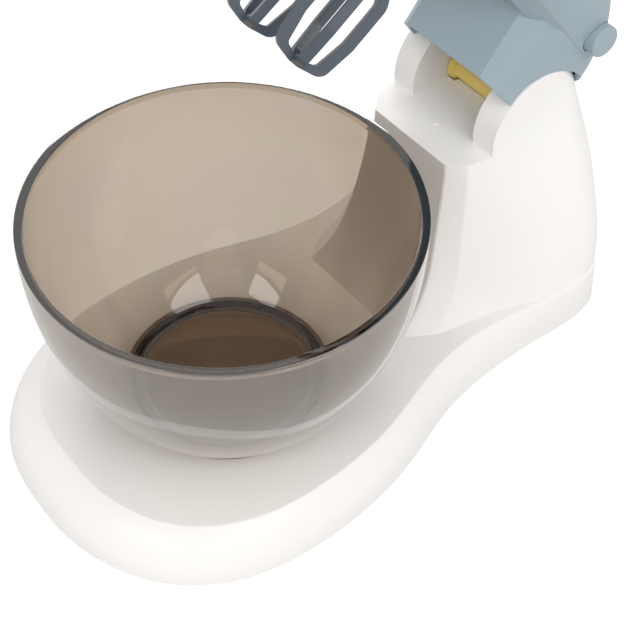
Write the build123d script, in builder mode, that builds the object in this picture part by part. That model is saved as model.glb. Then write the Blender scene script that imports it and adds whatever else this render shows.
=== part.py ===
from build123d import *
from math import atan2, cos, degrees, hypot, pi, radians, sin, sqrt
import os

# Toy stand mixer with a tilting head, modelled in millimetres.
# The origin is on the underside of the base, below the middle of the bowl.
# +X is to the side, +Y runs back to the column, and +Z is up.
# The head's pieces are drawn with the head closed, then opened about the hinge.

os.makedirs("parts", exist_ok=True)

# Shared fits and walls
running_gap = 0.05
slide_gap = 0.25
seat_gap = 0.3
shell_wall = 2.2
overcut = 1.0

# Base
base_height = 16.5
base_rim_lift = 0.5
base_bulge_height = 9.0
base_bulge = 0.74
platform_wall = 2.4
crease_round = 0.9

# Bowl
bowl_rim_radius = 65.0
bowl_rim_height = 94.0
bowl_depth_axis = 90.0
bowl_wall = 2.2
bowl_rim_thickness = 2.9
bowl_rim_band = 2.6
bowl_floor_top = 17.0
bowl_foot_outer = 34.4
bowl_foot_wall = 3.2
seat_depth = 2.7
seat_radius = 35.6
seat_wall = 2.4

# Column and its ears
shelf_height = 80.7
shelf_wall = 2.4
ear_radius = 20.5
ear_inner_half = 15.0
ear_outer_half = 24.7
hinge_y = 113.6
hinge_z = 84.4
hinge_pin_radius = 2.0
hinge_pin_blind = 20.5
trough_gap = 0.4
trough_block_y = 122.0
head_tilt = 56.0

# Head
saddle_gap = 0.35
head_wall = 2.0
head_floor_wall = 2.2
head_floor = 105.0
head_split = 128.0
neck_bottom = 81.3
rear_lip_height = 101.1
lip_height = 1.6
lip_wall = 1.0

# Hinge spool
spool_radius = 4.1
spool_flange_radius = 5.3
spool_half = 14.5
spool_flange = 1.9
spool_cone = 0.8
spool_rib = 2.2
spool_rib_half = 9.5

# Drive
beater_spacing = 23.0
beater_y = 3.4
worm_height = 119.0
wheel_teeth = 20
worm_pitch_radius = 2.5
wheel_width = 3.0
worm_length = 11.0
thread_thickness = 0.7
tooth_thickness = 1.2
motor_shaft_radius = 1.0
motor_width = 20.0
motor_height = 15.0
motor_length = 23.0
motor_front_y = 22.0
motor_cap_length = 2.5

# Spindles and beaters
spindle_radius = 3.6
spindle_mouth = 101.8
socket_depth = 15.5
beater_shaft_radius = 1.95
bush_radius = 5.4
bush_flange = 6.1
pivot_radius = 1.5
beater_bottom = 44.8
beater_bottom_radius = 9.2
beater_top_radius = 11.0
beater_blade = 3.6
beater_thickness = 3.0
beater_turn = 48.0

# Start button
button_y = 101.0
button_z = 117.3
button_radius = 5.75
button_face_x = 32.0
button_travel = 2.0
button_collar_radius = 7.2
button_stem_radius = 1.6
switch_face_x = 17.0

# Fasteners
screw_radius = 1.3
screw_head_radius = 2.5
screw_head = 1.8
boss_radius = 3.4

# Battery cells, two of the common 14.5 mm size
cell_radius = 7.25
cell_length = 50.5
cell_gap = 0.6
cell_y = 106.0
holder_wall = 1.5
door_thickness = 1.8

hinge_axis = Axis((0, hinge_y, hinge_z), (1, 0, 0))
saddle_radius = ear_radius + saddle_gap
wheel_pitch_radius = beater_spacing / 2 - worm_pitch_radius
wheel_module = 2 * wheel_pitch_radius / wheel_teeth
worm_pitch = pi * wheel_module


def inset_points(points, distance):
    """Closed outline moved inwards along the normal at each of its points."""
    moved = []
    count = len(points)
    for i, (x, y) in enumerate(points):
        before = points[i - 1]
        after = points[(i + 1) % count]
        dx, dy = after[0] - before[0], after[1] - before[1]
        length = hypot(dx, dy)
        moved.append((x - distance * dy / length, y + distance * dx / length))
    return moved


def inset_corners(points, distance):
    """Closed polygon with each straight side moved inwards by the distance."""
    count = len(points)
    moved = []
    for i in range(count):
        ax, ay = points[i - 1]
        bx, by = points[i]
        cx, cy = points[(i + 1) % count]
        n1 = (-(by - ay), bx - ax)
        n2 = (-(cy - by), cx - bx)
        l1, l2 = hypot(*n1), hypot(*n2)
        n1 = (n1[0] / l1, n1[1] / l1)
        n2 = (n2[0] / l2, n2[1] / l2)
        share = distance / (1 + n1[0] * n2[0] + n1[1] * n2[1])
        moved.append((bx + share * (n1[0] + n2[0]), by + share * (n1[1] + n2[1])))
    return moved


def mirrored(half):
    """Whole outline from its right half, front to back, counter-clockwise."""
    left = [(-x, y) for x, y in reversed(half) if x > 0]
    return list(half) + left


def keep(piece, node):
    piece.label = node
    export_step(piece, f"parts/{node}.step")


def opened(piece):
    """A piece of the head, turned back from closed to the open rest pose."""
    return piece.rotate(hinge_axis, -head_tilt)


# Base: a shell with a soft edge round a flat platform that narrows to a waist before the column
floor_half = [(0, -74.5), (24, -71.4), (46, -59), (60, -37), (63.8, -6), (58, 31), (48.5, 58), (45, 84),
              (45.2, 106), (45.6, 121), (41.4, 134.2), (18, 142.4), (0, 143)]
crease_half = [(0, -62), (20, -60), (38, -50.8), (51, -32), (55.2, -4), (51.2, 28), (42.8, 54), (39.3, 78),
               (42.5, 102), (44.6, 120), (41.2, 133.9), (18, 141.1), (0, 141.6)]
floor_outline = mirrored(floor_half)
crease_outline = mirrored(crease_half)
bulge_outline = [
    (c[0] + base_bulge * (f[0] - c[0]), c[1] + base_bulge * (f[1] - c[1])) for f, c in zip(floor_outline, crease_outline)
]


def base_form(inset, bottom, top):
    """The base's outer form, or the same form one wall smaller."""
    levels = [(bottom, floor_outline), (base_bulge_height, bulge_outline), (top, crease_outline)]
    with BuildPart() as form:
        for height, outline in levels:
            with BuildSketch(Plane.XY.offset(height)):
                with BuildLine():
                    Spline(*inset_points(outline, inset), periodic=True)
                make_face()
        loft()
    return form.part


base_screw_places = [(-40, -36), (40, -36), (-34, 66), (34, 66), (-29, 132), (29, 132)]
column_screw_places = [(-26.5, 86), (26.5, 86), (-34.5, 122), (34.5, 122)]
plate_thickness = 2.2
plate_pad_top = 4.2
plate_pad_radius = 4.6
cell_x = cell_radius + cell_gap / 2
holder_inner_x = cell_x + cell_radius + cell_gap
holder_inner_y = cell_radius + cell_gap
holder_outer_x = holder_inner_x + holder_wall
holder_outer_y = holder_inner_y + holder_wall
contact_thickness = 0.4
cell_spring_height = 4.9
link_top = plate_thickness + contact_thickness
terminal_bottom = link_top + cell_length + cell_spring_height
holder_ceiling = terminal_bottom + contact_thickness
holder_top = holder_ceiling + holder_wall
shoulder_reach = 9.0
shoulder_step = 1.5
door_screw_y = cell_y - holder_inner_y - 5.0

base_outer = base_form(0, base_rim_lift, base_height)
base_inner = base_form(shell_wall, base_rim_lift, base_height - platform_wall)
with BuildPart() as base_shell:
    add(base_outer)
    fillet(base_shell.edges().group_by(Axis.Z)[-1], crease_round)
    add(base_inner, mode=Mode.SUBTRACT)
    # Seat for the bowl's foot, let into the platform
    with BuildSketch(Plane.XY.offset(base_height - seat_depth - seat_wall)):
        Circle(seat_radius + seat_wall)
    extrude(amount=seat_depth + seat_wall - platform_wall / 2)
    with BuildSketch(Plane.XY.offset(base_height - seat_depth)):
        Circle(seat_radius)
    extrude(amount=seat_depth + overcut, mode=Mode.SUBTRACT)
    # Bosses for the base plate's screws
    with BuildSketch(Plane.XY.offset(plate_pad_top)):
        with Locations(*base_screw_places):
            Circle(boss_radius)
    extrude(amount=base_height - platform_wall / 2 - plate_pad_top)
    with BuildSketch(Plane.XY.offset(plate_pad_top)):
        with Locations(*base_screw_places):
            Circle(screw_radius)
    extrude(amount=8, mode=Mode.SUBTRACT)
    # Openings below the column for the battery holder and for the column's screws
    with BuildSketch(Plane.XY.offset(base_height - platform_wall - overcut)):
        with Locations((0, cell_y)):
            Rectangle(2 * (holder_outer_x + slide_gap), 2 * (holder_outer_y + slide_gap))
        with Locations(*column_screw_places):
            Circle(screw_radius + running_gap)
    extrude(amount=platform_wall + 2 * overcut, mode=Mode.SUBTRACT)
keep(base_shell.part, "base_shell")

# Base plate: the flat underside, with sunk screws and an opening for the battery door
door_half_x = holder_inner_x - slide_gap
door_rear_y = cell_y + holder_inner_y - slide_gap
door_front_y = door_screw_y - 5.5
door_lift = 0.3
counterbore = 2.6
with BuildPart() as base_plate:
    with BuildSketch():
        with BuildLine():
            Spline(*inset_points(floor_outline, shell_wall + slide_gap), periodic=True)
        make_face()
    extrude(amount=plate_thickness)
    with BuildSketch(Plane.XY.offset(plate_thickness)):
        with Locations(*base_screw_places):
            Circle(plate_pad_radius)
    extrude(amount=plate_pad_top - plate_thickness)
    with BuildSketch():
        with Locations(*base_screw_places):
            Circle(screw_head_radius + slide_gap)
    extrude(amount=counterbore, mode=Mode.SUBTRACT)
    with BuildSketch():
        with Locations(*base_screw_places):
            Circle(screw_radius + running_gap)
    extrude(amount=plate_pad_top, mode=Mode.SUBTRACT)
    with BuildSketch():
        with Locations((0, (door_front_y + door_rear_y) / 2)):
            RectangleRounded(2 * (door_half_x + slide_gap), door_rear_y - door_front_y + 2 * slide_gap, 2)
    extrude(amount=plate_thickness, mode=Mode.SUBTRACT)
keep(base_plate.part, "base_plate")


def pan_screw(head_bottom, length, places):
    """Screws driven upwards, with their heads below: head bottom height, whole length, places."""
    with BuildPart() as screws:
        with Locations(*[(x, y, head_bottom) for x, y in places]):
            Cylinder(screw_head_radius, screw_head, align=(Align.CENTER, Align.CENTER, Align.MIN))
            Cylinder(screw_radius, length, align=(Align.CENTER, Align.CENTER, Align.MIN))
        with Locations(*[(x, y, head_bottom) for x, y in places]):
            Box(2.8, 0.7, 1.4, mode=Mode.SUBTRACT)
            Box(0.7, 2.8, 1.4, mode=Mode.SUBTRACT)
    return screws.part


keep(pan_screw(counterbore - screw_head, 9.4, base_screw_places), "base_screws")
keep(pan_screw(base_height - platform_wall - screw_head, 14, column_screw_places), "column_screws")

# Battery door: a flat lid let into the underside, with one sunk screw in a round pad
door_pad_radius = 4.0
door_pad = 1.5
door_top = door_lift + door_thickness
with BuildPart() as battery_door:
    with BuildSketch(Plane.XY.offset(door_lift)):
        with Locations((0, (door_front_y + door_rear_y) / 2)):
            RectangleRounded(2 * door_half_x, door_rear_y - door_front_y, 2 - slide_gap)
    extrude(amount=door_thickness)
    with BuildSketch(Plane.XY.offset(door_top)):
        with Locations((0, door_screw_y)):
            Circle(door_pad_radius)
    extrude(amount=door_pad)
    with Locations((0, door_screw_y, door_lift)):
        Cylinder(screw_head_radius + slide_gap, screw_head + 0.2, align=(Align.CENTER, Align.CENTER, Align.MIN),
                 mode=Mode.SUBTRACT)
        Cylinder(screw_radius + running_gap, 10, mode=Mode.SUBTRACT)
keep(battery_door.part, "battery_door")
keep(pan_screw(door_lift + 0.2, 9, [(0, door_screw_y)]), "battery_door_screw")

# Battery holder: a tub that stands on the base plate and reaches up into the column
shoulder_front_y = cell_y - holder_outer_y - shoulder_reach
shoulder_rear_y = cell_y + holder_outer_y + shoulder_step
with BuildPart() as battery_holder:
    with BuildSketch(Plane.XY.offset(plate_thickness)):
        with Locations((0, (shoulder_front_y + shoulder_rear_y) / 2)):
            RectangleRounded(2 * (holder_outer_x + shoulder_step), shoulder_rear_y - shoulder_front_y, 1.5)
    extrude(amount=base_height - platform_wall - plate_thickness)
    with BuildSketch(Plane.XY.offset(plate_thickness)):
        with Locations((0, cell_y)):
            Rectangle(2 * holder_outer_x, 2 * holder_outer_y)
    extrude(amount=holder_top - plate_thickness)
    with BuildSketch(Plane.XY.offset(plate_thickness)):
        with Locations((0, cell_y)):
            Rectangle(2 * holder_inner_x, 2 * holder_inner_y)
    extrude(amount=holder_ceiling - plate_thickness, mode=Mode.SUBTRACT)
    with Locations((0, door_screw_y, plate_thickness)):
        Cylinder(door_pad_radius + slide_gap, door_top + door_pad + 0.1 - plate_thickness,
                 align=(Align.CENTER, Align.CENTER, Align.MIN), mode=Mode.SUBTRACT)
        Cylinder(screw_radius, 9, align=(Align.CENTER, Align.CENTER, Align.MIN), mode=Mode.SUBTRACT)
keep(battery_holder.part, "battery_holder")

# Two cells, head to tail, with a link below and two terminals above
nub_radius = 2.7
nub_height = 1.2
cell_spring_radius = 4.0
cell_spring_wire = 0.45
with BuildPart() as battery_cells:
    with Locations((-cell_x, cell_y, link_top + nub_height), (cell_x, cell_y, link_top + cell_spring_height)):
        Cylinder(cell_radius, cell_length - nub_height, align=(Align.CENTER, Align.CENTER, Align.MIN))
    with Locations((-cell_x, cell_y, link_top)):
        Cylinder(nub_radius, nub_height, align=(Align.CENTER, Align.CENTER, Align.MIN))
    with Locations((cell_x, cell_y, terminal_bottom - nub_height)):
        Cylinder(nub_radius, nub_height, align=(Align.CENTER, Align.CENTER, Align.MIN))
keep(battery_cells.part, "battery_cells")

with BuildPart() as battery_contacts:
    with Locations((0, cell_y, plate_thickness)):
        Box(2 * (cell_x + 5), 9, contact_thickness, align=(Align.CENTER, Align.CENTER, Align.MIN))
    with Locations((-cell_x, cell_y, terminal_bottom), (cell_x, cell_y, terminal_bottom)):
        Box(10, 10, contact_thickness, align=(Align.CENTER, Align.CENTER, Align.MIN))
keep(battery_contacts.part, "battery_contacts")


def coil(radius, wire, height, turns):
    """Compression spring along +Z from its lower wire's centre."""
    with BuildPart() as spring:
        with BuildLine() as path:
            Helix(height / turns, height, radius)
        with BuildSketch(Plane(origin=path.line @ 0, z_dir=path.line % 0)):
            RegularPolygon(wire, 6)
        sweep()
    return spring.part


cell_coil = coil(cell_spring_radius, cell_spring_wire, cell_spring_height - 2 * cell_spring_wire - 0.1, 3)
with BuildPart() as battery_springs:
    with Locations((-cell_x, cell_y, terminal_bottom - cell_spring_height + cell_spring_wire + 0.05),
                   (cell_x, cell_y, link_top + cell_spring_wire + 0.05)):
        add(cell_coil)
keep(battery_springs.part, "battery_springs")

# Bowl: smoked shell on a foot ring, its wall a quarter ellipse below the rim
bowl_bottom = base_height - seat_depth
foot_inner = bowl_foot_outer - bowl_foot_wall


def bowl_curve(inset, height):
    """Radius of the bowl's wall at a height, some way inside its outer surface."""
    drop = bowl_rim_height - height
    return bowl_rim_radius * sqrt(1 - (drop / bowl_depth_axis) ** 2) - inset


with BuildPart() as bowl:
    with BuildSketch(Plane.XZ):
        with BuildLine():
            rim = bowl_rim_height
            foot_top = bowl_floor_top + 0.4
            outer_end = (bowl_curve(0, foot_top), foot_top)
            inner_end = (bowl_floor_top + 15.0, bowl_floor_top)
            outer_wall = Spline((bowl_rim_radius, rim - 0.5), (bowl_curve(0, 74), 74), (bowl_curve(0, 54), 54),
                                (bowl_curve(0, 34), 34), outer_end, tangents=((0, -1), (-1, -1.5)))
            Line(outer_wall @ 1, (bowl_foot_outer - 0.6, foot_top - 0.6))
            Line((bowl_foot_outer - 0.6, foot_top - 0.6), (bowl_foot_outer - 0.6, bowl_bottom))
            Line((bowl_foot_outer - 0.6, bowl_bottom), (foot_inner, bowl_bottom))
            Line((foot_inner, bowl_bottom), (foot_inner, bowl_floor_top - bowl_wall))
            Line((foot_inner, bowl_floor_top - bowl_wall), (0, bowl_floor_top - bowl_wall))
            Line((0, bowl_floor_top - bowl_wall), (0, bowl_floor_top))
            Line((0, bowl_floor_top), (foot_inner - 1.5, bowl_floor_top))
            inner_wall = Spline((foot_inner - 1.5, bowl_floor_top), (bowl_curve(bowl_wall, 20), 20),
                                (bowl_curve(bowl_wall, 34), 34), (bowl_curve(bowl_wall, 54), 54),
                                (bowl_curve(bowl_wall, 74), 74),
                                (bowl_rim_radius - bowl_wall, rim - bowl_rim_band - 0.7),
                                tangents=((1, 0.15), (0, 1)))
            Polyline(inner_wall @ 1, (bowl_rim_radius - bowl_rim_thickness, rim - bowl_rim_band),
                     (bowl_rim_radius - bowl_rim_thickness, rim - 0.4), (bowl_rim_radius - bowl_rim_thickness + 0.4, rim),
                     (bowl_rim_radius - 0.5, rim), (bowl_rim_radius, rim - 0.5))
        make_face()
    revolve(axis=Axis.Z)
keep(bowl.part, "bowl")

# Column: one moulding from the wide foot to the narrow shelf and the two hinge ears.
# Each level gives its height, its half outline from the front to the rear, and its rear corner's radius.
column_levels = [
    (16.5, [(24.5, 57), (31, 67), (36.5, 92), (42.2, 106), (44.3, 139.4)], 14.8),
    (22, [(22.8, 63.5), (28.8, 73), (35, 93), (41, 107.5), (44.8, 140.3)], 14.4),
    (33, [(21.3, 70.2), (27.0, 78.6), (33.3, 96.5), (37.6, 109), (44.6, 141.2)], 14.6),
    (50, [(19.4, 74.4), (24.9, 81.6), (29.6, 98), (32.6, 110), (40.6, 141.6)], 14.5),
    (66, [(18.2, 77.2), (23.6, 83.5), (26.4, 97), (28.4, 109), (34.4, 141)], 14.3),
    (80.7, [(17.6, 78.5), (22.8, 84.2), (24.8, 94), (25.6, 107), (28, 137.4)], 10.9),
    (94, [(17.6, 78.5), (22.8, 84.2), (24.7, 93.5), (24.8, 106), (25.1, 132.6)], 7),
    (106, [(17.6, 78.5), (22.8, 84.2), (24.6, 93.5), (24.8, 106), (24.7, 123)], 5),
]
front_round = 1.2
chamfer_round = 2.0
side_round = 10.0
waist_round = 14.0


def level_sketch(height, half, radii, inset):
    """One level of a moulding, a closed outline of straight sides with rounded corners."""
    corners = inset_corners(half + [(-x, y) for x, y in reversed(half)], inset)
    inner = [max(r - inset, 0.4) for r in radii]
    with BuildSketch(Plane.XY.offset(height)) as level:
        with BuildLine():
            FilletPolyline(*corners, radius=inner + inner[::-1], close=True)
        make_face()
    return level


def column_form(inset, levels):
    corner_rounds = (front_round, chamfer_round, side_round, waist_round)
    sections = [
        level_sketch(height, half, corner_rounds[:len(half) - 1] + (rear_round,), inset).sketch
        for height, half, rear_round in levels
    ]
    with BuildPart() as form:
        loft(sections)
    return form.part


cavity_top = shelf_height - shelf_wall
cavity_levels = [level for level in column_levels if level[0] < cavity_top]
last_height, last_half, last_round = cavity_levels[-1]
next_height, next_half, next_round = column_levels[len(cavity_levels)]
share = (cavity_top - last_height) / (next_height - last_height)
cavity_half = [(a[0] + share * (b[0] - a[0]), a[1] + share * (b[1] - a[1])) for a, b in zip(last_half, next_half)]
cavity_levels = cavity_levels + [(cavity_top, cavity_half, last_round + share * (next_round - last_round))]

heel_y = 145.0
heel_z = 58.0
haunch_y = 137.0
flange_start = spool_half - spool_flange - spool_cone - trough_gap
ear_front_y = hinge_y - sqrt(ear_radius ** 2 - (shelf_height - hinge_z) ** 2)
pip_y = 90.2
column_outer = column_form(0, column_levels)
with BuildPart() as column_bosses:
    for x, y in column_screw_places:
        with BuildSketch(Plane.XY.offset(base_height)):
            with Locations((x, y)):
                Circle(boss_radius)
            with Locations((x + (8 if x > 0 else -8), y)):
                Rectangle(16, 1.6)
        extrude(amount=16)
    add(column_outer, mode=Mode.INTERSECT)
with BuildPart() as column:
    add(column_outer)
    # Side view: shelf, round ears about the hinge, and the rear running down to the heel
    with BuildSketch(Plane.YZ):
        with BuildLine():
            Line((40, base_height - overcut), (40, shelf_height))
            Line((40, shelf_height), (ear_front_y, shelf_height))
            ThreePointArc((ear_front_y, shelf_height), (hinge_y, hinge_z + ear_radius), (hinge_y + ear_radius, hinge_z))
            Line((hinge_y + ear_radius, hinge_z), (haunch_y, shelf_height))
            Line((haunch_y, shelf_height), (heel_y, heel_z))
            Line((heel_y, heel_z), (heel_y, base_height - overcut))
            Line((heel_y, base_height - overcut), (40, base_height - overcut))
        make_face()
    extrude(amount=60, both=True, mode=Mode.INTERSECT)
    add(column_form(shell_wall + 0.2, cavity_levels), mode=Mode.SUBTRACT)
    # Bosses for the four screws that come up through the base, each joined to the wall beside it
    add(column_bosses.part)
    with BuildSketch(Plane.XY.offset(base_height)):
        with Locations(*column_screw_places):
            Circle(screw_radius)
    extrude(amount=13, mode=Mode.SUBTRACT)
    # Slot between the ears, with a trough below the hinge spool
    with Locations((0, hinge_y, cavity_top + 0.4)):
        Box(2 * (ear_inner_half + shelf_wall), 2 * (trough_block_y - hinge_y), 3.4,
            align=(Align.CENTER, Align.CENTER, Align.MAX))
    with BuildSketch(Plane.YZ):
        with BuildLine():
            Polyline((ear_front_y - overcut, shelf_height), (heel_y, shelf_height),
                     (heel_y, hinge_z + ear_radius + overcut),
                     (ear_front_y - overcut, hinge_z + ear_radius + overcut), close=True)
        make_face()
    extrude(amount=ear_inner_half, both=True, mode=Mode.SUBTRACT)
    for near, far, radius in [(-ear_inner_half, ear_inner_half, spool_radius),
                              (-ear_inner_half, -flange_start, spool_flange_radius),
                              (flange_start, ear_inner_half, spool_flange_radius)]:
        with BuildSketch(Plane.YZ.offset(near)):
            with Locations((hinge_y, hinge_z)):
                Circle(radius + trough_gap)
        extrude(amount=far - near, mode=Mode.SUBTRACT)
    # Bores for the hinge pin: through one ear and blind in the other
    with BuildSketch(Plane.YZ.offset(-40)):
        with Locations((hinge_y, hinge_z)):
            Circle(hinge_pin_radius)
    extrude(amount=40 + hinge_pin_blind, mode=Mode.SUBTRACT)
    with Locations((0, pip_y, shelf_height)):
        Cylinder(1.5, 0.8)
keep(column.part, "column")

with BuildPart() as hinge_pin:
    with BuildSketch(Plane.YZ.offset(-ear_outer_half + 0.3)):
        with Locations((hinge_y, hinge_z)):
            Circle(hinge_pin_radius)
    extrude(amount=ear_outer_half - 0.3 + hinge_pin_blind - 0.3)
    chamfer(hinge_pin.edges().filter_by(GeomType.CIRCLE), 0.4)
keep(hinge_pin.part, "hinge_pin")

# Head: its neck is one moulding with straight sides, its body a smooth loft above a chamfered floor
neck_levels = [
    (neck_bottom, [(17.6, 78.5), (22.8, 84.2), (24.7, 93.5), (24.9, 126)], 10),
    (96, [(17.6, 74.2), (22.9, 79.9), (24.8, 90), (25.3, 127.5)], 15),
    (108, [(17.8, 70.8), (23.6, 76.8), (26.3, 88), (27, 123)], 15),
    (115, [(17.9, 69), (23.8, 75), (26.5, 87), (27, 119.5)], 15),
]
neck_void_levels = [(neck_bottom - overcut, neck_levels[0][1], 10), neck_levels[1], neck_levels[2],
                    (112, neck_levels[2][1], 15)]
# Height, half width and front of the nose, half width and place of the widest part, half width and end of the rear
floor_level = (head_floor, 12, -30, 17.6, 20, 20, 112)
body_levels = [
    (110.5, 15, -36, 24, 15, 27, 121),
    (118, 18, -41, 28.6, 10, 29, 116.5),
    (126, 19, -43, 30, 8, 28.6, 109),
    (134, 17.5, -40, 28, 8, 25.5, 99),
    (141, 13, -31, 22, 10, 18.5, 84),
    (146, 6, -12, 11, 16, 9, 60),
]


def between(low, high, height):
    """Level at a height between two levels."""
    share = (height - low[0]) / (high[0] - low[0])
    return tuple(a + share * (b - a) for a, b in zip(low, high))


def body_outline(level, inset):
    """Plan outline of the head's body at one level."""
    height, nose_half, nose, side_half, side, rear_half, rear = level
    half = [
        (0, nose),
        (0.62 * nose_half, nose + 0.9),
        (nose_half, nose + 4.5),
        (0.35 * nose_half + 0.65 * side_half + 0.6, nose + 0.5 * (side - nose)),
        (side_half, side),
        (0.5 * (side_half + rear_half), 0.5 * (side + rear - 20)),
        (rear_half, rear - 20),
        (0.91 * rear_half, rear - 8.5),
        (0.62 * rear_half, rear - 1.9),
        (0, rear),
    ]
    return inset_points(mirrored(half), inset)


def smooth_section(outline, height):
    with BuildSketch(Plane.XY.offset(height)) as section:
        with BuildLine():
            Spline(*outline, periodic=True)
        make_face()
    return section.sketch


def head_body(inset, floor, roof):
    """The head's body, or the same form with thinner walls: wall inset, floor height, roof height."""
    band = [between(floor_level, body_levels[0], floor), body_levels[0]]
    dome = body_levels[:-1] + [between(body_levels[-2], body_levels[-1], roof)]
    with BuildPart() as form:
        loft([smooth_section(body_outline(level, inset), level[0]) for level in band], ruled=True)
        loft([smooth_section(body_outline(level, inset), level[0]) for level in dome])
    return form.part


head_roof = 146.0
body_outer = head_body(0, head_floor, head_roof)
body_inner = head_body(head_wall, head_floor + head_floor_wall, head_roof - head_wall)
lip_outer = head_body(head_wall - lip_wall + 0.1, head_floor, head_roof - 1)
lip_groove = head_body(head_wall - lip_wall, head_floor, head_roof - 1)
neck_outer = column_form(0, neck_levels)
neck_inner = column_form(head_wall, neck_void_levels)

spindle_places = [(-beater_spacing / 2, beater_y), (beater_spacing / 2, beater_y)]
gear_posts = [(-17, -13), (17, -13), (-16.5, 17), (16.5, 17)]
strap_posts = [(-15, 34), (15, 34)]
head_screw_places = [(-9.5, -23), (9.5, -23), (-14, 60), (14, 60)]
floor_top = head_floor + head_floor_wall
gear_plate_bottom = 122.6
gear_plate_thickness = 2.0
post_radius = 3.0
strap_height = worm_height + motor_height / 2
tube_radius = 4.4
tube_bore = screw_head_radius + slide_gap
tube_top = 121.0
tube_web = 2.0
rib_top = 121.0
rib_front_y = 72.5
shaft_rib_y = -6.5
shaft_rib_width = 2.0
shaft_rib_half = 3.5
cradle_places = [27.0, 41.0]
cradle_width = 2.0
cradle_cheek = 1.6
cradle_cheek_top = 117.0
button_recess = 25.6
lip_top = head_split + lip_height
bush_flange_top = floor_top + 1.2


def slab(low, high):
    """Flat slab between two heights, wide enough for the head."""
    with BuildPart() as flat:
        with Locations((0, 40, low)):
            Box(120, 240, high - low, align=(Align.CENTER, Align.CENTER, Align.MIN))
    return flat.part


def tubes(places, radius, low, high):
    """Round bosses at several places, between two heights."""
    with BuildPart() as bosses:
        with Locations(*[(x, y, low) for x, y in places]):
            Cylinder(radius, high - low, align=(Align.CENTER, Align.CENTER, Align.MIN))
    return bosses.part


with BuildPart() as head_ribs:
    # Two ribs that reach down between the ears and rest on the hinge spool
    for side in (-1, 1):
        with BuildSketch(Plane.YZ.offset(side * (spool_rib_half + spool_rib / 2))):
            with BuildLine():
                Polyline((hinge_y, hinge_z),
                         (hinge_y + 24 * cos(radians(62)), hinge_z + 24 * sin(radians(62))),
                         (121, head_floor + 3), (121, rib_top), (rib_front_y, rib_top),
                         (rib_front_y, head_floor + 3), (hinge_y + 24 * cos(radians(118)), head_floor + 1.5),
                         close=True)
            make_face()
            with Locations((hinge_y, hinge_z)):
                Circle(spool_radius, mode=Mode.SUBTRACT)
        extrude(amount=spool_rib / 2, both=True)
    add(body_outer + neck_outer, mode=Mode.INTERSECT)

with BuildPart() as head_lower:
    add(body_outer)
    add(neck_outer)
    add(body_inner, mode=Mode.SUBTRACT)
    add(neck_inner, mode=Mode.SUBTRACT)
    add(slab(head_split, 160), mode=Mode.SUBTRACT)
    # Saddle that turns over the column's ears
    with BuildSketch(Plane.YZ):
        with Locations((hinge_y, hinge_z)):
            Circle(saddle_radius)
    extrude(amount=50, both=True, mode=Mode.SUBTRACT)
    add(head_ribs.part)
    # Posts for the gear plate and the motor strap, and tubes for the screws of the head's top
    add(tubes(gear_posts, post_radius, head_floor + 1, gear_plate_bottom))
    add(tubes(strap_posts, post_radius, head_floor + 1, strap_height))
    add(tubes(head_screw_places, tube_radius, head_floor + 0.2, tube_top))
    add(tubes(head_screw_places, tube_bore, head_floor - overcut, tube_top - tube_web), mode=Mode.SUBTRACT)
    add(tubes(head_screw_places, screw_radius + running_gap, head_floor, tube_top + overcut), mode=Mode.SUBTRACT)
    add(tubes(gear_posts + strap_posts, screw_radius, floor_top + 5, 130), mode=Mode.SUBTRACT)
    # Cradle for the motor and bearing for the end of its shaft
    with Locations(*[(0, y, head_floor + 1) for y in cradle_places]):
        Box(motor_width + 2 * running_gap + 2 * cradle_cheek, cradle_width, cradle_cheek_top - head_floor - 1,
            align=(Align.CENTER, Align.CENTER, Align.MIN))
    with Locations((0, motor_front_y + motor_length / 2, worm_height)):
        Box(motor_width + 2 * running_gap, motor_length, motor_height, mode=Mode.SUBTRACT)
    with Locations((0, shaft_rib_y, head_floor + 1)):
        Box(2 * shaft_rib_half, shaft_rib_width, 15.5, align=(Align.CENTER, Align.CENTER, Align.MIN))
    with BuildSketch(Plane.XZ.offset(-shaft_rib_y - 3)):
        with Locations((0, worm_height)):
            Circle(motor_shaft_radius + running_gap)
    extrude(amount=6, mode=Mode.SUBTRACT)
    # Holes for the spindles' bushes
    add(tubes(spindle_places, bush_radius, head_floor - overcut, floor_top + overcut), mode=Mode.SUBTRACT)
    add(tubes(spindle_places, bush_flange + running_gap, floor_top, bush_flange_top), mode=Mode.SUBTRACT)
    # Button hole, with a recess inside the wall for the button's collar
    with BuildSketch(Plane.YZ.offset(button_recess - 9)):
        with Locations((button_y, button_z)):
            Circle(button_collar_radius + slide_gap)
    extrude(amount=9, mode=Mode.SUBTRACT)
    with BuildSketch(Plane.YZ.offset(button_recess - 1)):
        with Locations((button_y, button_z)):
            Circle(button_radius + slide_gap)
    extrude(amount=10, mode=Mode.SUBTRACT)
    # Lip that locates the top
    add(lip_outer & slab(head_split - 1.5, lip_top), mode=Mode.ADD)
    add(body_inner & slab(head_split - 1.5, lip_top), mode=Mode.SUBTRACT)
    add(tubes(strap_posts, post_radius, head_split - 4, strap_height))
    add(tubes(strap_posts, screw_radius, head_split - 4, 130), mode=Mode.SUBTRACT)
keep(opened(head_lower.part), "head_lower")

with BuildPart() as head_top_bosses:
    # They come down onto the tubes of the lower half, and end in the roof
    add(tubes(head_screw_places, boss_radius, tube_top, head_roof))
    add(body_outer, mode=Mode.INTERSECT)

with BuildPart() as head_top:
    add(body_outer & slab(head_split, 160))
    add(body_inner & slab(head_split - 1, 160), mode=Mode.SUBTRACT)
    add(lip_groove & slab(head_split - 1, lip_top + 0.1), mode=Mode.SUBTRACT)
    add(head_top_bosses.part)
    add(tubes(head_screw_places, screw_radius, tube_top - overcut, 132), mode=Mode.SUBTRACT)
keep(opened(head_top.part), "head_top")
keep(opened(pan_screw(tube_top - tube_web - screw_head, 10, head_screw_places)), "head_screws")

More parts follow.
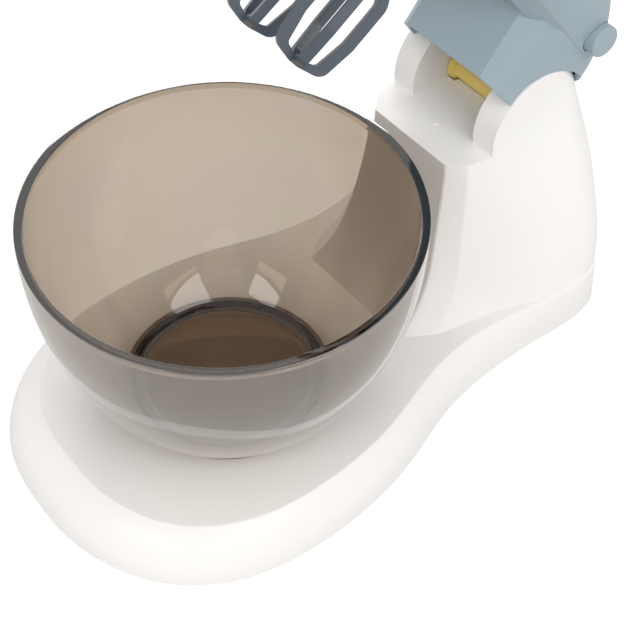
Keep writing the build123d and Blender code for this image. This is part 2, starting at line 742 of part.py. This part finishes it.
# Hinge spool, on the pin between the ears
with BuildPart() as hinge_spool:
    with BuildSketch(Plane.XY):
        with BuildLine():
            Polyline((0, hinge_pin_radius + running_gap), (spool_half, hinge_pin_radius + running_gap),
                     (spool_half, spool_flange_radius), (spool_half - spool_flange, spool_flange_radius),
                     (spool_half - spool_flange - spool_cone, spool_radius), (0, spool_radius), close=True)
        make_face()
        mirror(about=Plane.YZ)
    revolve(axis=Axis.X)
keep(opened(Pos(0, hinge_y, hinge_z) * hinge_spool.part), "hinge_spool")


def across(radius, start, end, x=0, z=worm_height):
    """Cylinder along Y between two places."""
    with BuildPart() as rod:
        with BuildSketch(Plane.XZ.offset(-end)):
            with Locations((x, z)):
                Circle(radius)
        extrude(amount=end - start)
    return rod.part


# Motor with its cap, held down by a strap
motor_rear_y = motor_front_y + motor_length
shaft_end_y = motor_rear_y - 2.0
with BuildPart() as motor_can:
    with BuildSketch(Plane.XZ.offset(-motor_rear_y)):
        with Locations((0, worm_height)):
            Circle(motor_width / 2)
            Rectangle(motor_width, motor_height, mode=Mode.INTERSECT)
    extrude(amount=motor_length)
    add(across(3.0, motor_front_y - 1.5, motor_front_y))
    add(across(motor_shaft_radius + running_gap, motor_front_y - 3, shaft_end_y + 0.5), mode=Mode.SUBTRACT)
keep(opened(motor_can.part), "motor_can")
with BuildPart() as motor_cap:
    with BuildSketch(Plane.XZ.offset(-motor_rear_y - motor_cap_length)):
        with Locations((0, worm_height)):
            Circle(motor_width / 2 - 0.6)
            Rectangle(motor_width, motor_height - 1.2, mode=Mode.INTERSECT)
    extrude(amount=motor_cap_length)
    with Locations((-6, motor_rear_y + motor_cap_length + 1, worm_height),
                   (6, motor_rear_y + motor_cap_length + 1, worm_height)):
        Box(0.5, 4, 3)
keep(opened(motor_cap.part), "motor_cap")

strap_thickness = 1.4
with BuildPart() as motor_strap:
    with BuildSketch(Plane.XY.offset(strap_height)):
        with Locations((0, strap_posts[0][1])):
            SlotCenterToCenter(2 * strap_posts[1][0], 7)
        with Locations(*strap_posts):
            Circle(screw_radius + running_gap, mode=Mode.SUBTRACT)
    extrude(amount=strap_thickness)
keep(opened(motor_strap.part), "motor_strap")


def cap_screw(seat, length, places):
    """Screws driven downwards onto a seat height."""
    with BuildPart() as screws:
        with Locations(*[(x, y, seat) for x, y in places]):
            Cylinder(screw_head_radius, screw_head, align=(Align.CENTER, Align.CENTER, Align.MIN))
            Cylinder(screw_radius, length, align=(Align.CENTER, Align.CENTER, Align.MAX))
        with Locations(*[(x, y, seat + screw_head) for x, y in places]):
            Box(2.8, 0.7, 1.4, mode=Mode.SUBTRACT)
            Box(0.7, 2.8, 1.4, mode=Mode.SUBTRACT)
    return screws.part


keep(opened(cap_screw(strap_height + strap_thickness, 8, strap_posts)), "strap_screws")

# Shaft and worm, one turning body
thread_turns = 4
worm_start_y = beater_y - thread_turns / 2 * worm_pitch
worm_end_y = beater_y + thread_turns / 2 * worm_pitch
thread_reach = 0.6
core_radius = 1.7
keep(opened(across(motor_shaft_radius, shaft_rib_y - shaft_rib_width / 2 - 0.6, shaft_end_y)), "motor_shaft")
with BuildPart() as worm:
    with BuildLine() as thread_path:
        Helix(worm_pitch, thread_turns * worm_pitch, worm_pitch_radius)
    with BuildSketch(Plane.XZ):
        with BuildLine():
            Polyline((core_radius - 0.3, -0.62), (worm_pitch_radius + thread_reach, -0.2),
                     (worm_pitch_radius + thread_reach, 0.2), (core_radius - 0.3, 0.62), close=True)
        make_face()
    sweep(path=thread_path.line, is_frenet=True)
    with Locations((0, 0, -1.2)):
        Cylinder(core_radius, thread_turns * worm_pitch + 2.4, align=(Align.CENTER, Align.CENTER, Align.MIN))
        Cylinder(motor_shaft_radius, 30, mode=Mode.SUBTRACT)
keep(opened(Pos(0, worm_start_y, worm_height) * Rot(-90, 0, 0) * worm.part), "worm")

# Gear plate that carries the spindles' upper pivots
with BuildPart() as gear_plate:
    with BuildSketch(Plane.XY.offset(gear_plate_bottom)):
        with Locations((0, 2)):
            RectangleRounded(42, 38, 4)
        with Locations(*spindle_places):
            Circle(pivot_radius + running_gap, mode=Mode.SUBTRACT)
        with Locations(*gear_posts):
            Circle(screw_radius + running_gap, mode=Mode.SUBTRACT)
    extrude(amount=gear_plate_thickness)
keep(opened(gear_plate.part), "gear_plate")
keep(opened(cap_screw(gear_plate_bottom + gear_plate_thickness, 9, gear_posts)), "gear_plate_screws")

# Bushes in the floor, and the two spindles that turn in them
with BuildPart() as spindle_bushes:
    with Locations(*[(x, y, head_floor) for x, y in spindle_places]):
        Cylinder(bush_radius, bush_flange_top - head_floor, align=(Align.CENTER, Align.CENTER, Align.MIN))
    with Locations(*[(x, y, floor_top) for x, y in spindle_places]):
        Cylinder(bush_flange, 1.2, align=(Align.CENTER, Align.CENTER, Align.MIN))
    with Locations(*[(x, y, head_floor) for x, y in spindle_places]):
        Cylinder(spindle_radius + running_gap, 20, mode=Mode.SUBTRACT)
keep(opened(spindle_bushes.part), "spindle_bushes")

wheel_root_radius = wheel_pitch_radius - 0.9
wheel_tip_radius = wheel_pitch_radius + 0.6
tooth_angle = 360 / wheel_teeth
wheel_bottom = worm_height - wheel_width / 2
wheel_top = worm_height + wheel_width / 2
lug_width = 1.1
lug_half = 2.8
lug_top = 106.6


def spindle(x, first_tooth):
    """Spindle with its wheel: its place across, and the angle of one tooth."""
    with BuildPart() as turning:
        Cylinder(spindle_radius, wheel_top - spindle_mouth, align=(Align.CENTER, Align.CENTER, Align.MIN))
        with Locations((0, 0, bush_flange_top + 0.2 - spindle_mouth)):
            Cylinder(5, 1.2, align=(Align.CENTER, Align.CENTER, Align.MIN))
        with BuildSketch(Plane.XY.offset(wheel_bottom - spindle_mouth)):
            Circle(wheel_root_radius)
            with PolarLocations(0, wheel_teeth, start_angle=first_tooth):
                Polygon((wheel_root_radius - 0.3, -0.78), (wheel_tip_radius, -0.34), (wheel_tip_radius, 0.34),
                        (wheel_root_radius - 0.3, 0.78), align=None)
        extrude(amount=wheel_width)
        with Locations((0, 0, wheel_top - spindle_mouth)):
            Cylinder(3, gear_plate_bottom - 0.2 - wheel_top, align=(Align.CENTER, Align.CENTER, Align.MIN))
            Cylinder(pivot_radius, gear_plate_bottom + gear_plate_thickness - 0.3 - wheel_top,
                     align=(Align.CENTER, Align.CENTER, Align.MIN))
        Cylinder(beater_shaft_radius + running_gap, socket_depth, align=(Align.CENTER, Align.CENTER, Align.MIN),
                 mode=Mode.SUBTRACT)
        with Locations(Rot(0, 0, beater_turn)):
            Box(2 * (lug_half + 0.2), lug_width + 0.3, 2 * (lug_top + 0.4 - spindle_mouth), mode=Mode.SUBTRACT)
    return Pos(x, beater_y, spindle_mouth) * turning.part


keep(opened(spindle(-beater_spacing / 2, 0)), "spindle_left")
keep(opened(spindle(beater_spacing / 2, tooth_angle / 2)), "spindle_right")

# Beaters: two crossed loops, a hub and a stem in one moulding
beater_hub = 88.0
stem_top = spindle_mouth - 0.3
spigot_radius = 1.1
spigot_bottom = stem_top - 8.0


def loop_outline(half, rounds):
    """Closed outline of a loop from its right half, bottom to top, with a rounding for each corner."""
    corners = half + [(-x, z) for x, z in reversed(half)]
    FilletPolyline(*corners, radius=rounds + rounds[::-1], close=True)


with BuildPart() as beater_loop:
    with BuildSketch(Plane.XZ.offset(-beater_thickness / 2)):
        with BuildLine():
            loop_outline([(1.5, beater_bottom), (beater_bottom_radius, beater_bottom + 1.7),
                          (beater_top_radius, beater_bottom + 14), (beater_top_radius, 74.5),
                          (3.0, beater_hub + 1.5)], [0, 4, 6, 7, 0])
        make_face()
        with BuildLine():
            loop_outline([(1.5, beater_bottom + 2.3), (beater_bottom_radius - beater_blade, beater_bottom + 3.8),
                          (beater_top_radius - beater_blade, beater_bottom + 14),
                          (beater_top_radius - beater_blade, 73.2), (1.2, beater_hub - 2.5)],
                         [0, 1.6, 4, 4, 0])
        make_face(mode=Mode.SUBTRACT)
    extrude(amount=beater_thickness)
with BuildPart() as beater_whole:
    add(beater_loop.part)
    add(beater_loop.part.rotate(Axis.Z, 90))
    with Locations((0, 0, beater_hub - 2)):
        Cylinder(3.2, 4.5, align=(Align.CENTER, Align.CENTER, Align.MIN))
    with Locations((0, 0, beater_hub)):
        Cylinder(beater_shaft_radius, stem_top - beater_hub, align=(Align.CENTER, Align.CENTER, Align.MIN))
    with Locations((0, 0, spigot_bottom)):
        Cylinder(spigot_radius, stem_top - spigot_bottom, align=(Align.CENTER, Align.CENTER, Align.MIN),
                 mode=Mode.SUBTRACT)
turned_beater = beater_whole.part.rotate(Axis.Z, beater_turn)
keep(opened(Pos(-beater_spacing / 2, beater_y, 0) * turned_beater), "beater_left")
keep(opened(Pos(beater_spacing / 2, beater_y, 0) * turned_beater), "beater_right")

# Drive tips: pressed into the stems, with two lugs that lock them in their spindles
shaft_top = spindle_mouth + socket_depth - 0.3
with BuildPart() as drive_tip:
    with Locations((0, 0, spigot_bottom)):
        Cylinder(spigot_radius, stem_top - spigot_bottom, align=(Align.CENTER, Align.CENTER, Align.MIN))
    with Locations((0, 0, stem_top)):
        Cylinder(beater_shaft_radius, shaft_top - stem_top, align=(Align.CENTER, Align.CENTER, Align.MIN))
    with Locations((0, 0, spindle_mouth + 0.3)):
        Box(2 * lug_half, lug_width, lug_top - spindle_mouth - 0.3, align=(Align.CENTER, Align.CENTER, Align.MIN))
turned_tip = drive_tip.part.rotate(Axis.Z, beater_turn)
keep(opened(Pos(-beater_spacing / 2, beater_y, 0) * turned_tip), "drive_tip_left")
keep(opened(Pos(beater_spacing / 2, beater_y, 0) * turned_tip), "drive_tip_right")

# Start button in the side of the head, its return spring and the switch behind it
collar_back_x = button_recess - 1.3
stem_end_x = switch_face_x + button_travel + 0.2


def sideways(radius, start, end):
    """Cylinder along X at the button, between two places."""
    with BuildPart() as rod:
        with BuildSketch(Plane.YZ.offset(start)):
            with Locations((button_y, button_z)):
                Circle(radius)
        extrude(amount=end - start)
    return rod.part


with BuildPart() as start_button:
    add(sideways(button_radius, collar_back_x, button_face_x))
    fillet(start_button.edges().group_by(Axis.X)[-1], 0.8)
    add(sideways(button_collar_radius, collar_back_x, button_recess - 0.1))
    add(sideways(button_stem_radius, stem_end_x, collar_back_x))
keep(opened(start_button.part), "start_button")
button_spring_radius = 2.7
button_spring_wire = 0.35
button_spring_length = collar_back_x - switch_face_x
button_coil = coil(button_spring_radius, button_spring_wire, button_spring_length - 2 * button_spring_wire - 0.1, 4)
button_spring = Pos(switch_face_x + button_spring_wire + 0.05, button_y, button_z) * Rot(0, 90, 0) * button_coil
keep(opened(button_spring), "button_spring")
switch_back_x = spool_rib_half + spool_rib
with BuildPart() as start_switch:
    with Locations(((switch_back_x + switch_face_x) / 2, button_y, button_z)):
        Box(switch_face_x - switch_back_x, 12, 6.4)
keep(opened(start_switch.part), "start_switch")
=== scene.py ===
import math

import bpy
from mathutils import Matrix, Vector


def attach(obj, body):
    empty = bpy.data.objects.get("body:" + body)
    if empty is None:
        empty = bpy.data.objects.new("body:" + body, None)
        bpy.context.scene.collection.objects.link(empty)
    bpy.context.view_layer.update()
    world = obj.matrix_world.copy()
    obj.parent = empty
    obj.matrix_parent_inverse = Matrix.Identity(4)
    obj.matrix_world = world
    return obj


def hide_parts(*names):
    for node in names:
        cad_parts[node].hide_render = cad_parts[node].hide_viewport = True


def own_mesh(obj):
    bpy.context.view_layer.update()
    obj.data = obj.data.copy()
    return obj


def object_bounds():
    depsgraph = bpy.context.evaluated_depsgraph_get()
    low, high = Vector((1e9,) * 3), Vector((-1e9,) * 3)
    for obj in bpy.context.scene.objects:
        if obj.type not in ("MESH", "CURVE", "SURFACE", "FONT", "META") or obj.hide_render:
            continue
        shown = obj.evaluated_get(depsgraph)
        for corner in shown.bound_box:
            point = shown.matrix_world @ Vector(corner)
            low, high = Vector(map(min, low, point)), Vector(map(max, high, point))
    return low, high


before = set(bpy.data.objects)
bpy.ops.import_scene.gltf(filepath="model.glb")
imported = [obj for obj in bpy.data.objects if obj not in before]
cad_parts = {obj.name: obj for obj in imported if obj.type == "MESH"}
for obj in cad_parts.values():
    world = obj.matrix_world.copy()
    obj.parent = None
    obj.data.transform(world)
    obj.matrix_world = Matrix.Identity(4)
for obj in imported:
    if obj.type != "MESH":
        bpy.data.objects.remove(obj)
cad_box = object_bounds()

# Picture
# The camera stands in front of the mixer and to its right, well above it. It looks down on the bowl from
# about 45 degrees, and its lens is shifted to the place where the photograph was cropped.
scene = bpy.context.scene
camera_place = (0.3541, -0.2583, 0.5380)
view_right = Vector((0.6319, 0.7751, 0.0)).normalized()
view_back = Vector((0.5509, -0.4491, 0.7035)).normalized()
view_up = view_back.cross(view_right).normalized()
view_axes = Matrix((view_right, view_up, view_back)).transposed().to_4x4()
lens = bpy.data.cameras.new("picture_camera")
lens.sensor_width = 36.0
lens.lens = 113.57
lens.shift_x = 0.030
lens.shift_y = -0.200
lens.clip_start = 0.01
camera = bpy.data.objects.new("picture_camera", lens)
camera.matrix_world = Matrix.Translation(camera_place) @ view_axes
scene.collection.objects.link(camera)
scene.camera = camera
scene.view_settings.view_transform = "Standard"


# Floor and light
# A sheet of white paper under the mixer, large soft lamps above and beside it, and a plain white room.
# The room and the paper look pure white to the camera and through the bowl, and light the toy less.
class Wire:
    """A value in a shader. Sums, differences and products of wires add their own Math nodes."""

    def __init__(self, finish, socket):
        self.finish = finish
        self.socket = socket

    def _with(self, operation, first, second):
        return self.finish.add("ShaderNodeMath", {"operation": operation}, {0: first, 1: second})

    def __add__(self, other):
        return self._with("ADD", self, other)

    __radd__ = __add__

    def __sub__(self, other):
        return self._with("SUBTRACT", self, other)

    def __rsub__(self, other):
        return self._with("SUBTRACT", other, self)

    def __mul__(self, other):
        return self._with("MULTIPLY", self, other)

    __rmul__ = __mul__


class Finish:
    """A material, or the world, while its nodes are put together."""

    def __init__(self, name, owner=None):
        self.owner = owner or bpy.data.materials.new(name)
        self.owner.use_nodes = True
        self.tree = self.owner.node_tree
        self.tree.nodes.clear()

    def add(self, kind, settings=None, sockets=None, output=0):
        """Adds a node of a type, with its settings and then the values or wires of its sockets."""
        node = self.tree.nodes.new(kind)
        for name, value in (settings or {}).items():
            if name == "stops":
                ramp = node.color_ramp
                while len(ramp.elements) > 1:
                    ramp.elements.remove(ramp.elements[0])
                ramp.elements[0].position, ramp.elements[0].color = value[0]
                for place, colour in value[1:]:
                    ramp.elements.new(place).color = colour
            else:
                setattr(node, name, value)
        for name, value in (sockets or {}).items():
            if isinstance(value, Wire):
                self.tree.links.new(value.socket, node.inputs[name])
            else:
                node.inputs[name].default_value = value
        return Wire(self, node.outputs[output])

    def noise(self, scale, detail=2.0, roughness=0.5, stretch=(1.0, 1.0, 1.0)):
        """Soft noise from 0 to 1; the scale is in grains a metre, and each axis can be stretched."""
        spot = self.add("ShaderNodeTexCoord", output="Object")
        place = self.add("ShaderNodeMapping", None, {"Vector": spot, "Scale": stretch})
        return self.add("ShaderNodeTexNoise", None, {
            "Vector": place, "Scale": scale, "Detail": detail, "Roughness": roughness}, "Fac")

    def blend(self, share, first, second):
        """Colour between two colours."""
        return self.add("ShaderNodeMix", {"data_type": "RGBA"}, {0: share, 6: first, 7: second}, 2)

    def either(self, first, second):
        """The larger of two shares."""
        return self.add("ShaderNodeMath", {"operation": "MAXIMUM"}, {0: first, 1: second})

    def relief(self, height, depth):
        """Surface direction of a relief; the depth is in metres."""
        return self.add("ShaderNodeBump", None, {"Height": height, "Distance": depth})

    def seen_through(self):
        """Share of the rays that come from the camera, straight or through the bowl."""
        straight = self.add("ShaderNodeLightPath", output="Is Camera Ray")
        through = self.add("ShaderNodeLightPath", output="Is Transmission Ray")
        return self.either(straight, through)

    def surface(self, shader, volume=None):
        """Ends the material with its surface and, for a clear one, what fills it."""
        sockets = {"Surface": shader}
        if volume:
            sockets["Volume"] = volume
        node = self.tree.nodes.new("ShaderNodeOutputMaterial")
        for name, wire in sockets.items():
            self.tree.links.new(wire.socket, node.inputs[name])
        return self.owner


paper_gap = 0.0002
paper_shade = (0.70, 0.70, 0.70, 1)
paper_white = (0.73, 0.73, 0.73, 1)
lamp_aim = (0, 0.03, 0.06)
warm_light = (1.0, 0.985, 0.965)

room = bpy.data.worlds.new("room")
scene.world = room
air = Finish("room", room)
seen = air.seen_through()
white_air = air.add("ShaderNodeBackground", None, {"Color": (1, 1, 1, 1), "Strength": 1.0}, "Background")
lit_air = air.add("ShaderNodeBackground", None, {"Color": warm_light + (1,), "Strength": 0.71}, "Background")
both_air = air.add("ShaderNodeMixShader", None, {0: seen, 1: lit_air, 2: white_air}, "Shader")
air_end = air.tree.nodes.new("ShaderNodeOutputWorld")
air.tree.links.new(both_air.socket, air_end.inputs["Surface"])


def softbox(name, place, size, power, colour):
    """Rectangular soft lamp at a place, turned towards the mixer."""
    lamp = bpy.data.lights.new(name, "AREA")
    lamp.shape = "RECTANGLE"
    lamp.size, lamp.size_y = size
    lamp.energy = power
    lamp.color = colour
    box = bpy.data.objects.new(name, lamp)
    box.location = place
    box.rotation_euler = (Vector(lamp_aim) - Vector(place)).to_track_quat("-Z", "Y").to_euler()
    scene.collection.objects.link(box)
    return box


softbox("left_box", place=(0.19, -0.95, 0.80), size=(0.52, 0.42), power=2.2, colour=warm_light)
softbox("right_box", place=(1.00, 0.10, 1.02), size=(0.75, 0.65), power=4.6, colour=(1.0, 0.99, 0.98))
softbox("far_box", place=(-0.89, 0.67, 0.93), size=(1.00, 0.22), power=4.5, colour=warm_light)
front_box = softbox("front_box", place=(0.80, -0.56, 1.05), size=(0.75, 0.75), power=2.6, colour=warm_light)
front_box.visible_glossy = False

floor_mesh = bpy.data.meshes.new("floor")
floor_mesh.from_pydata([(-6, -6, 0), (6, -6, 0), (6, 6, 0), (-6, 6, 0)], [], [(0, 1, 2, 3)])
floor = bpy.data.objects.new("floor", floor_mesh)
floor.location.z = cad_box[0][2] - paper_gap
scene.collection.objects.link(floor)
paper = Finish("white_paper")
paper_seen = paper.seen_through()
paper_matt = paper.add("ShaderNodeBsdfPrincipled", None, {
    "Base Color": paper.blend(paper.noise(40, 3), paper_shade, paper_white),
    "Roughness": 0.9, "Specular IOR Level": 0.1}, "BSDF")
paper_glow = paper.add("ShaderNodeEmission", None, {"Color": (1, 1, 1, 1), "Strength": 0.42}, "Emission")
paper_both = paper.add("ShaderNodeAddShader", None, {0: paper_matt, 1: paper_glow}, "Shader")
paper_mix = paper.add("ShaderNodeMixShader", None, {0: paper_seen, 1: paper_matt, 2: paper_both}, "Shader")
floor_mesh.materials.append(paper.surface(paper_mix))


# Base and column
# Two mouldings in the same warm white plastic, screwed together from below. The base is a shell over a
# flat plate of a greyer, grained plastic, and the column ends in two round ears.
def moulded(name, colour, shade, roughness, grain=0.00002):
    """Injection-moulded plastic: faint flow marks in its colour and a slightly uneven polish."""
    finish = Finish(name)
    flow = finish.noise(24, 3, 0.6, (1, 1, 2.5))
    pores = finish.noise(900, 2, 0.6)
    ripple = finish.noise(160, 2, 0.5)
    plastic = finish.add("ShaderNodeBsdfPrincipled", None, {
        "Base Color": finish.blend(flow * 1.6 - 0.3, colour + (1,), shade + (1,)),
        "Roughness": flow * 0.08 + pores * 0.04 + (roughness - 0.06),
        "Normal": finish.relief(pores * 0.6 + ripple * 0.8, grain)}, "BSDF")
    return finish.surface(plastic)


def wear(material, *nodes):
    """Gives the CAD pieces of these nodes a material."""
    for node in nodes:
        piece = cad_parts[node]
        piece.data.materials.clear()
        piece.data.materials.append(material)
    return material


wear(moulded("white_plastic", (0.925, 0.918, 0.91), (0.915, 0.905, 0.895), roughness=0.36),
     "base_shell", "column")
wear(moulded("plate_plastic", (0.86, 0.85, 0.84), (0.83, 0.82, 0.80), roughness=0.6, grain=0.00006),
     "base_plate", "battery_door")

# Head
# Two blue-grey halves, screwed together from below, with a smooth, faintly glossy skin. The button in
# the side is the same plastic.
wear(moulded("head_plastic", (0.330, 0.415, 0.470), (0.315, 0.400, 0.455), roughness=0.34),
     "head_lower", "head_top", "start_button")

# Beaters
# A pair of four-bladed beaters, each one moulding in dark blue-grey plastic. Their drive tips, of the
# same plastic, push up into the spindles' sockets.
wear(moulded("beater_plastic", (0.070, 0.088, 0.114), (0.062, 0.080, 0.104), roughness=0.30),
     "beater_left", "beater_right", "drive_tip_left", "drive_tip_right")

# Hinge spool
# Bright yellow plastic between the ears, moulded in one piece. It turns with the head on the steel pin
# through both ears.
wear(moulded("spool_plastic", (0.86, 0.66, 0.19), (0.83, 0.62, 0.16), roughness=0.33), "hinge_spool")

# Bowl
# One smoked clear moulding, turned here from its profile in place of the CAD solid, so that its wall is
# even. The wall follows a quarter ellipse below the rim, and a foot ring under the floor sits in the base.
rim_radius = 0.065
rim_height = 0.094
rim_width = 0.0029
rim_band = 0.0026
wall_depth = 0.090
wall = 0.0022
wall_steps = 34
floor_top = 0.017
floor_radius = 0.0282
foot_outer = 0.0338
foot_inner = 0.0312
foot_bottom = 0.0138
foot_step = 0.0004
gate_radius = 0.0017
gate_depth = 0.0004
gate_slope = 0.0003
edge_round = 0.00045
band_angle = 2.2
floor_angle = 60.2
foot_angle = 58.3


def wall_point(angle, inset=0.0):
    """Radius and height on the wall's ellipse, at an angle down from the rim and some way inside it."""
    across, down = math.cos(angle) / rim_radius, math.sin(angle) / wall_depth
    size = math.hypot(across, down)
    return (rim_radius * math.cos(angle) - inset * across / size,
            rim_height - wall_depth * math.sin(angle) + inset * down / size)


def wall_curve(start, end, inset=0.0):
    """Points along the wall between two angles in degrees."""
    angles = [start - (start - end) * step / wall_steps for step in range(wall_steps + 1)]
    return [wall_point(math.radians(angle), inset) for angle in angles]


def turned(name, profile, segments=192):
    """Mesh of a profile turned about the Z axis. The profile starts and ends on the axis."""
    points = [(0, 0, profile[0][1])]
    for radius, height in profile[1:-1]:
        for step in range(segments):
            turn = math.tau * step / segments
            points.append((radius * math.cos(turn), radius * math.sin(turn), height))
    points.append((0, 0, profile[-1][1]))
    faces = []
    for step in range(segments):
        near, far = 1 + step, 1 + (step + 1) % segments
        faces.append((0, near, far))
        for ring in range(len(profile) - 3):
            start = ring * segments
            faces.append((start + near, start + segments + near, start + segments + far, start + far))
        start = (len(profile) - 3) * segments
        faces.append((start + near, len(points) - 1, start + far))
    mesh = bpy.data.meshes.new(name)
    mesh.from_pydata(points, [], faces)
    mesh.shade_smooth()
    piece = bpy.data.objects.new(name, mesh)
    scene.collection.objects.link(piece)
    return piece


bowl_floor = [(0, floor_top - gate_depth), (gate_radius - gate_slope, floor_top - gate_depth),
              (gate_radius, floor_top), (floor_radius, floor_top)]
bowl_rim = [(rim_radius - rim_width, rim_height - rim_band), (rim_radius - rim_width, rim_height)]
bowl_foot = [(foot_outer, floor_top - foot_step), (foot_outer, foot_bottom), (foot_inner, foot_bottom),
             (foot_inner, floor_top - wall), (0, floor_top - wall)]
bowl = turned("bowl_shell", bowl_floor + wall_curve(floor_angle, band_angle, wall) + bowl_rim
              + wall_curve(0.0, foot_angle) + bowl_foot)
soften = bowl.modifiers.new("soften", "BEVEL")
soften.width = edge_round
soften.segments = 3
soften.limit_method = "ANGLE"
soften.angle_limit = math.radians(30)
bowl.modifiers.new("even", "WEIGHTED_NORMAL")
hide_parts("bowl")
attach(bowl, "bowl")

# Its tint comes from the thickness of the plastic. The rim's top is darker still. The foot is darker too,
# partly from its thick plastic and partly from painted shade of the base under the ring, and the floor's
# tint is painted shade of the base under the bowl. The outside and the rim have a harder polish than
# the inside.
foot_top = floor_top - wall - 0.0002
rim_top = rim_height - 0.0004
# Painted shade: the floor's tint darkens the base seen under the bowl's floor, as if it were shaded.
floor_shade_tint = (0.86, 0.79, 0.72, 1)
# Partly painted shade: the foot's dark tint stands for its thick plastic and for the shade on the base under
# the ring.
foot_shade_tint = (0.12, 0.10, 0.10, 1)
rim_tint = (0.20, 0.175, 0.18, 1)
stress_tints = [(0.30, (1.0, 0.965, 0.975, 1)), (0.45, (0.985, 1.0, 0.97, 1)),
                (0.55, (1.0, 0.99, 0.955, 1)), (0.70, (0.965, 0.985, 1.0, 1))]
smoke = Finish("smoked_clear")
to_lamps = smoke.add("ShaderNodeLightPath", output="Is Shadow Ray")
from_matt = smoke.add("ShaderNodeLightPath", output="Is Diffuse Ray")
stress = smoke.noise(14, 2, 0.5, (1, 1, 1.6))
tints = smoke.add("ShaderNodeValToRGB", {"stops": stress_tints}, {"Fac": stress}, "Color")
spot = smoke.add("ShaderNodeTexCoord", output="Object")
height = smoke.add("ShaderNodeSeparateXYZ", None, {"Vector": spot}, "Z")
across = smoke.add("ShaderNodeVectorMath", {"operation": "MULTIPLY"}, {0: spot, 1: (1.0, 1.0, 0.0)})
reach = smoke.add("ShaderNodeVectorMath", {"operation": "LENGTH"}, {0: across}, "Value")
facing = smoke.add("ShaderNodeNewGeometry", output="Normal")
outward = smoke.add("ShaderNodeVectorMath", {"operation": "DOT_PRODUCT"}, {0: across, 1: facing}, "Value")
outside_share = smoke.add("ShaderNodeMath", {"operation": "GREATER_THAN"}, {0: outward, 1: 0.01})
# Mask of the floor, where the painted shade of the base under the bowl goes.
shaded_floor_share = smoke.add("ShaderNodeMath", {"operation": "LESS_THAN"}, {0: reach, 1: floor_radius})
# Mask of the foot, where its dark tint with painted shade goes.
foot_shade_share = smoke.add("ShaderNodeMath", {"operation": "LESS_THAN"}, {0: height, 1: foot_top})
rim_share = smoke.add("ShaderNodeMath", {"operation": "GREATER_THAN"}, {0: height, 1: rim_top})
# The wall's own tints, with painted shade on the floor.
wall_or_shaded_floor = smoke.blend(shaded_floor_share, tints, floor_shade_tint)
# Adds the foot's dark tint, partly painted shade of the base under the ring.
body_tint_and_shade = smoke.blend(foot_shade_share, wall_or_shaded_floor, foot_shade_tint)
clear = smoke.add("ShaderNodeBsdfPrincipled", None, {
    "Base Color": smoke.blend(rim_share, body_tint_and_shade, rim_tint), "Roughness": stress * 0.02 + 0.01,
    "Transmission Weight": 1.0, "IOR": 1.58, "Coat Weight": smoke.either(outside_share, rim_share * 0.6),
    "Coat Roughness": 0.03, "Coat IOR": 2.3}, "BSDF")
shadow = smoke.add("ShaderNodeBsdfTransparent", None, {"Color": (0.80, 0.76, 0.715, 1)}, "BSDF")
clear_both = smoke.add("ShaderNodeMixShader", None, {
    0: smoke.either(to_lamps, from_matt), 1: clear, 2: shadow}, "Shader")
depth_tint = smoke.add("ShaderNodeVolumeAbsorption", None, {
    "Color": (0.48, 0.36, 0.23, 1), "Density": 540.0}, "Volume")
bowl.data.materials.append(smoke.surface(clear_both, depth_tint))


# Steel parts
# Screws, pin, shaft, springs, contacts and the motor's can: plain drawn or stamped steel, with fine
# scratches along it.
def drawn_steel(name, colour, roughness):
    """Steel with cloudy brightness and scratches along the Z axis."""
    finish = Finish(name)
    scratch = finish.noise(1500, 3, 0.6, (1, 1, 0.05))
    cloud = finish.noise(120, 2)
    duller = tuple(0.85 * channel for channel in colour)
    metal = finish.add("ShaderNodeBsdfPrincipled", None, {
        "Base Color": finish.blend(cloud, colour + (1,), duller + (1,)), "Metallic": 1.0,
        "Roughness": scratch * 0.15 + (roughness - 0.07), "Normal": finish.relief(scratch, 0.00001)}, "BSDF")
    return finish.surface(metal)


wear(drawn_steel("screw_steel", (0.60, 0.60, 0.59), roughness=0.34), "base_screws", "column_screws",
     "battery_door_screw", "head_screws", "strap_screws", "gear_plate_screws")
wear(drawn_steel("pin_steel", (0.66, 0.66, 0.66), roughness=0.22), "hinge_pin", "motor_shaft")
wire_steel = wear(drawn_steel("spring_steel", (0.68, 0.68, 0.66), roughness=0.25), "battery_springs",
                  "battery_contacts")
wear(drawn_steel("motor_steel", (0.55, 0.55, 0.54), roughness=0.38), "motor_can", "motor_strap")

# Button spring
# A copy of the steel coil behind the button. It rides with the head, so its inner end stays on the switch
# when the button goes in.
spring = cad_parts["button_spring"].copy()
spring.data = spring.data.copy()
spring.name = "button_coil"
spring.data.materials.clear()
spring.data.materials.append(wire_steel)
scene.collection.objects.link(spring)
bpy.context.view_layer.update()
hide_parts("button_spring")
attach(spring, "head")
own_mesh(spring)

# Inner plastic
# The battery holder, gear plate, bushes, wheels, worm, motor cap and switch, inside the casings. They
# are left as they came from the mould.
wear(moulded("holder_plastic", (0.70, 0.69, 0.66), (0.67, 0.66, 0.63), roughness=0.55),
     "battery_holder", "gear_plate", "spindle_bushes")
wear(moulded("gear_plastic", (0.84, 0.83, 0.78), (0.81, 0.79, 0.74), roughness=0.5),
     "spindle_left", "spindle_right", "worm")
wear(moulded("motor_cap_plastic", (0.12, 0.12, 0.13), (0.10, 0.10, 0.11), roughness=0.5),
     "motor_cap", "start_switch")

# Cells
# Two cells in a plain dark wrap, with no print. They stand upright in the holder, between the contacts
# and their springs.
wrap = Finish("cell_wrap")
sheen = wrap.noise(300, 2)
wrapped = wrap.add("ShaderNodeBsdfPrincipled", None, {
    "Base Color": wrap.blend(sheen, (0.10, 0.11, 0.12, 1), (0.13, 0.14, 0.15, 1)), "Metallic": 0.6,
    "Roughness": sheen * 0.1 + 0.3}, "BSDF")
wear(wrap.surface(wrapped), "battery_cells")
